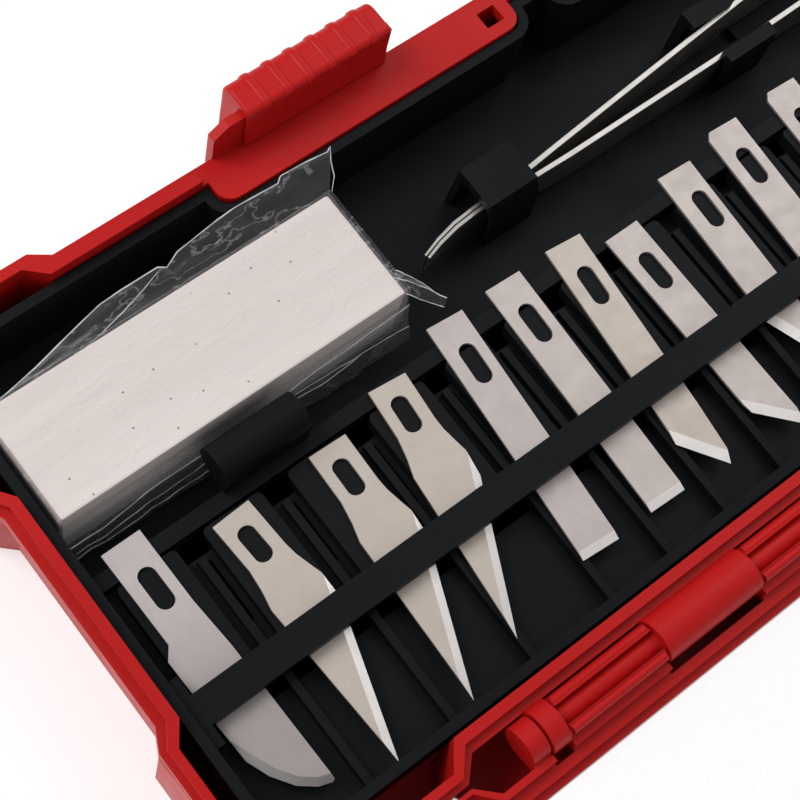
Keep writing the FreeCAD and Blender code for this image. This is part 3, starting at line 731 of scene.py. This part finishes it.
def film_sheet(rows):
    """A thin two-sided film through rows of points, in millimetres."""
    bm = bmesh.new()
    grid = [[bm.verts.new((x * MM, (y - SHIFT) * MM, z * MM)) for x, y, z in row] for row in rows]
    bridge(bm, grid, closed=False)
    bmesh.ops.recalc_face_normals(bm, faces=bm.faces)
    return bm


# the stone's box
sx0, sy0, sz0 = (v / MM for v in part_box("whetstone")[0])
sx1, sy1, sz1 = (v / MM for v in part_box("whetstone")[1])
sy0 += SHIFT
sy1 += SHIFT


def wrap_rows():
    """The sleeve round the stone: near side, top and far side, a little loose,
    with long folds down the near side."""
    foot = sz0 + 0.2
    # round the stone: y, z and the direction away from it
    path = [(sy0, lerp(foot, sz1, k / 12), -1, 0) for k in range(12)]
    path += [(lerp(sy0, sy1, k / 34), sz1, 0, 1) for k in range(34)]
    path += [(sy1, lerp(sz1, foot, k / 12), 1, 0) for k in range(13)]
    rows = []
    n = 132
    for i in range(n + 1):
        x = lerp(sx0 - 0.6, sx1 + 0.7, i / n)
        drift = 0.045 * (x - sx0) + 0.6 * noise.noise(Vector((x * 0.05, 0, 0)))
        row = []
        for y, z, ny, nz in path:
            gap = 0.16 + max(0.0, 0.10 + crumple(Vector((x, y, z)), 0.15, 0.16, 3.1))
            if ny < 0:
                gap = 0.12 + 0.26 * max(0.0, math.sin((z - sz0) * 1.25 + drift)) ** 3
            row.append((x, y + ny * gap, z + nz * gap))
        rows.append(row)
    return rows


# the free flap's outer edge, stepped where the film was torn: x, y, z
FLAP_EDGE = [
    (-101.1, 79.0, 13.4), (-94.0, 79.9, 14.6), (-87.3, 81.1, 15.8), (-82.3, 82.0, 16.4), (-78.8, 82.1, 16.6),
    (-72.6, 82.0, 16.9), (-71.4, 81.4, 16.5), (-68.9, 82.4, 17.0), (-61.9, 83.0, 17.6), (-58.5, 83.2, 17.7),
    (-51.2, 82.8, 17.8), (-50.3, 83.5, 18.0), (-46.0, 83.2, 18.2), (-42.5, 82.7, 18.4), (-41.7, 83.1, 18.7),
]


def along(line, t):
    """A point of the line at a share t of its reach in X."""
    x = lerp(line[0][0], line[-1][0], t)
    for a, b in zip(line, line[1:]):
        if x <= b[0] or b is line[-1]:
            s = 0.0 if b[0] == a[0] else min(1.0, max(0.0, (x - a[0]) / (b[0] - a[0])))
            return Vector(a).lerp(Vector(b), s)


def flap_rows():
    """The far seam flap: a free strip standing off the far edge and leaning
    on the bay's wall."""
    rows = []
    n = 150
    for i in range(n + 1):
        t = i / n
        edge = along(FLAP_EDGE, t)
        root = Vector((min(edge.x + 0.4, sx1 + 0.6), sy1 + 0.2, sz1 + 0.1))
        row = []
        for k in range(13):
            s = k / 12
            p = root.lerp(edge, s)
            p.z += 0.9 * math.sin(math.pi * s) * noise.noise(Vector((p.x * 0.2, s * 1.6, 3)))
            p.y += 0.25 * math.sin(math.pi * s) * noise.noise(Vector((p.x * 0.5, s * 3, 9)))
            row.append(tuple(p))
        rows.append(row)
    return rows


def skirt_rows():
    """The loose near side: film standing off the stone's foot in long folds."""
    rows = []
    n = 140
    for i in range(n + 1):
        x = lerp(sx0 - 0.3, sx1 + 0.8, i / n)
        swing = 0.5 * noise.noise(Vector((x * 0.08, 2, 0))) + 0.2 * noise.noise(Vector((x * 0.4, 6, 0)))
        row = []
        for k in range(15):
            s = k / 14
            y = sy0 - 0.45 - (2.3 + swing) * s ** 1.3 + 0.12 * math.sin(s * 9 + 0.06 * x)
            z = lerp(sz1 - 3.6 + 0.5 * swing, sz0 + 0.4, s)
            row.append((x, y, z))
        rows.append(row)
    return rows


def thread(name, line, r):
    """A fine rounded line through points: a film's edge or fold catching the
    light.  It thins to its two ends."""
    bm = bmesh.new()
    points = [Vector(p) for p in line]
    last = len(points) - 1
    rings = []
    for i, p in enumerate(points):
        ahead = (points[min(i + 1, last)] - points[max(i - 1, 0)]).normalized()
        side = ahead.cross(Vector((0, 0, 1))).normalized()
        up = side.cross(ahead)
        away = r * (0.35 if i in (0, last) else 0.75 + 0.4 * noise.noise(Vector((p.x * 0.3, p.y, 2))))
        ring = []
        for k in range(6):
            t = math.pi / 3 * k
            q = p + (side * math.cos(t) + up * math.sin(t)) * away
            ring.append(bm.verts.new((q.x * MM, (q.y - SHIFT) * MM, q.z * MM)))
        rings.append(ring)
    bridge(bm, rings)
    bm.faces.new(rings[0])
    bm.faces.new(rings[-1])
    bmesh.ops.recalc_face_normals(bm, faces=bm.faces)
    return smooth(put("vis_film_" + name, bm, [MATS["film_edge"]], "stone"), 50)


def fold_line(t0, t1, s0, s1, wave, seed):
    """A long fold along the skirt, from share t0 to t1 of its length, which
    drifts from share s0 to s1 of its height."""
    rows = skirt_rows()
    line = []
    for i in range(71):
        t = lerp(t0, t1, i / 70)
        row = rows[min(len(rows) - 1, int(t * (len(rows) - 1)))]
        s = lerp(s0, s1, i / 70) + wave * noise.noise(Vector((t * 6, seed, 0)))
        place = max(0.0, min(0.999, s)) * (len(row) - 1)
        k = int(place)
        p = Vector(row[k]).lerp(Vector(row[k + 1]), place - k)
        line.append((p.x, p.y - 0.08, p.z + 0.06))
    return line


def end_rows():
    """The gathered right end: side walls pinched to a crinkled seam that
    leans down towards the lane's floor."""
    rows = []
    n = 46
    for i in range(n + 1):
        s = i / n
        y = lerp(sy0 - 0.1, sy1 + 0.15, s)
        row = []
        for k in range(17):
            t = k / 16
            out = 0.25 + 2.0 * t * (0.5 + 0.35 * noise.noise(Vector((y * 0.5, t * 2, 2))))
            z = sz1 + 0.05 - t * (sz1 - sz0 - 0.6) * 0.94
            bulge = out * math.sin(math.pi * (0.12 + 0.8 * t))
            row.append((sx1 + bulge + crumple(Vector((y, z, 0)), 0.22, 0.4, 8.0), y, z))
        rows.append(row)
    return rows


def tab_rows():
    """The loose curled tab at the near right corner."""
    rows = []
    n = 26
    for i in range(n + 1):
        t = i / n
        cx = lerp(sx1 - 0.5, sx1 + 4.8, t)
        cy = lerp(sy0 + 2.6, sy0 - 3.6, t)
        cz = lerp(sz1 - 0.3, sz1 - 2.6, t) + 0.5 * math.sin(t * 5.0)
        row = []
        for k in range(13):
            s = k / 12 - 0.5
            wide = 3.4 * (1 - 0.55 * t) * (1 + 0.2 * noise.noise(Vector((t * 4, s * 3, 5))))
            curl = 1.1 * math.cos(s * 3.2) * (0.4 + t)
            ripple = 0.25 * noise.noise(Vector((t * 9, s * 6, 0)))
            row.append((cx + wide * s * 0.75, cy + wide * s * 0.62, cz + curl + ripple))
        rows.append(row)
    return rows


FILM = {
    "sleeve": wrap_rows(),
    "flap": flap_rows(),
    "skirt": skirt_rows(),
    "end": end_rows(),
    "tab": tab_rows(),
}
for tag, rows in FILM.items():
    stands_for = ["stone_wrap"] if tag == "sleeve" else ()
    piece = put("vis_film_" + tag, film_sheet(rows), [MATS["clear_film"]], "stone", stands_for)
    smooth(piece, 22)

FLAP_CORNER = [(-42.6, 81.6, 17.6), (-43.4, 79.6, 16.9), (sx1 + 0.6, sy1 - 0.2, sz1 + 0.4)]
STRIP_EDGE = [
    (-72.8, 81.6, 16.4), (-76.0, 80.6, 16.0), (-80.0, 79.6, 15.6), (-85.0, 78.6, 15.2), (-90.0, 77.9, 14.8),
]
thread("edge_flap", [along(FLAP_EDGE, i / 150) for i in range(151)], 0.13)
thread("edge_flap_end", [along(FLAP_EDGE, 1.0)] + FLAP_CORNER, 0.10)
thread("edge_strip", STRIP_EDGE, 0.10)
thread("fold_a", fold_line(0.0, 1.0, 0.55, 0.06, 0.10, 1.0), 0.12)
thread("fold_b", fold_line(0.02, 0.86, 0.80, 0.60, 0.08, 5.0), 0.09)
thread("fold_c", fold_line(0.0, 0.45, 0.96, 0.88, 0.06, 8.0), 0.08)
thread("fold_d", fold_line(0.5, 1.0, 0.42, 0.66, 0.08, 12.0), 0.08)
for tag, k in (("a", 0), ("b", 7), ("c", 12)):
    thread("tab_" + tag, [Vector(row[k]) + Vector((0, 0, 0.12)) for row in FILM["tab"]], 0.09)


# -------------------------------------------------------------- hinge ridges
HINGE_PITCH = 41.8  # from the case's middle to the middle of each cylinder
HINGE_HALF = 32.4  # half of a cylinder's length
HINGE_END = 6.4  # a cylinder's plug and disk
TROUGH = 17.3  # the stretch between an end and the hook round the middle
RIDGE_Z = 19.55
RIDGE_RADIUS = 0.78
RIDGE_STEPS = 20


def make_ridge(name, x0, x1, y):
    """A ridge of the lid along X, with a small conical hollow in each end."""
    bm = bmesh.new()
    shares = [math.sin(math.pi / 2 * k / 6) for k in range(7)]
    deep = 0.8 * RIDGE_RADIUS
    spans = [(x0 + deep * (1 - s), s) for s in shares]
    spans += [(x1 - deep * (1 - s), s) for s in reversed(shares)]
    rings = []
    for x, s in spans:
        r = RIDGE_RADIUS * max(0.02, s)
        ring = []
        for k in range(RIDGE_STEPS):
            t = 2 * math.pi * k / RIDGE_STEPS
            spot = (x * MM, (y - SHIFT + r * math.cos(t)) * MM, (RIDGE_Z + r * 1.15 * math.sin(t)) * MM)
            ring.append(bm.verts.new(spot))
        rings.append(ring)
    bridge(bm, rings)
    bm.faces.new(rings[0])
    bm.faces.new(rings[-1])
    bmesh.ops.recalc_face_normals(bm, faces=bm.faces)
    return smooth(put(name, bm, [MATS["red_shell"]], "lid"), 60)


for tag, middle in (("l", -HINGE_PITCH), ("r", HINGE_PITCH)):
    starts = (middle - HINGE_HALF + HINGE_END, middle + HINGE_HALF - HINGE_END - TROUGH)
    for number, x0 in enumerate(starts, 1):
        for side, y in (("a", 2.05), ("b", -2.25)):
            make_ridge("vis_ridge_%s%d_%s" % (tag, number, side), x0 + 0.35, x0 + TROUGH - 0.35, y)


# --------------------------------------------------------------- light, camera
def floor_material():
    """A pale, slightly uneven floor with a glow of its own, which keeps it near white."""
    m = Mat("floor", 0.85)
    pale = (0.55, 0.55, 0.55)
    m.color(m.mix(m.noise(6, 3), tuple(c * 0.985 for c in pale), pale))
    m.set("Emission Color", (1, 1, 1, 1))
    m.set("Emission Strength", 0.5)
    return m.material


cam = bpy.data.cameras.new("cam")
cam.lens = 83.25
cam.sensor_width = 36
cam.clip_start = 0.01
cam.clip_end = 10
view = bpy.data.objects.new("cam", cam)
view.location = (-0.141, -0.004189, 0.252352)
view.rotation_euler = [math.radians(a) for a in (20.87694, -8.64089, -38.10795)]
bpy.context.scene.collection.objects.link(view)
bpy.context.scene.camera = view
bpy.context.scene.view_settings.view_transform = "Standard"

world = bpy.data.worlds.new("studio")
world.use_nodes = True
background = world.node_tree.nodes["Background"]
background.inputs["Color"].default_value = (1, 1, 1, 1)
background.inputs["Strength"].default_value = 0.46
bpy.context.scene.world = world


def lamp(name, spot, aim, power, size):
    data = bpy.data.lights.new(name, "AREA")
    data.energy = power
    data.size = size
    ob = bpy.data.objects.new(name, data)
    bpy.context.scene.collection.objects.link(ob)
    ob.location = spot
    ob.rotation_euler = (Vector(aim) - Vector(spot)).to_track_quat("-Z", "Y").to_euler()


# place, aim, power and width
lamp("key", (-0.45, 0.45, 0.65), (-0.04, 0.04, 0), 4.6, 0.5)
lamp("fill", (0.5, 0.2, 0.6), (0, 0, 0), 1.6, 0.6)

bm = bmesh.new()
bmesh.ops.create_grid(bm, x_segments=2, y_segments=2, size=1.5)
me = bpy.data.meshes.new("floor")
bm.to_mesh(me)
bm.free()
floor = bpy.data.objects.new("floor", me)
floor.location = (0, 0, -0.0002)  # just under the case, so that the two never share a plane
bpy.context.scene.collection.objects.link(floor)
me.materials.append(floor_material())
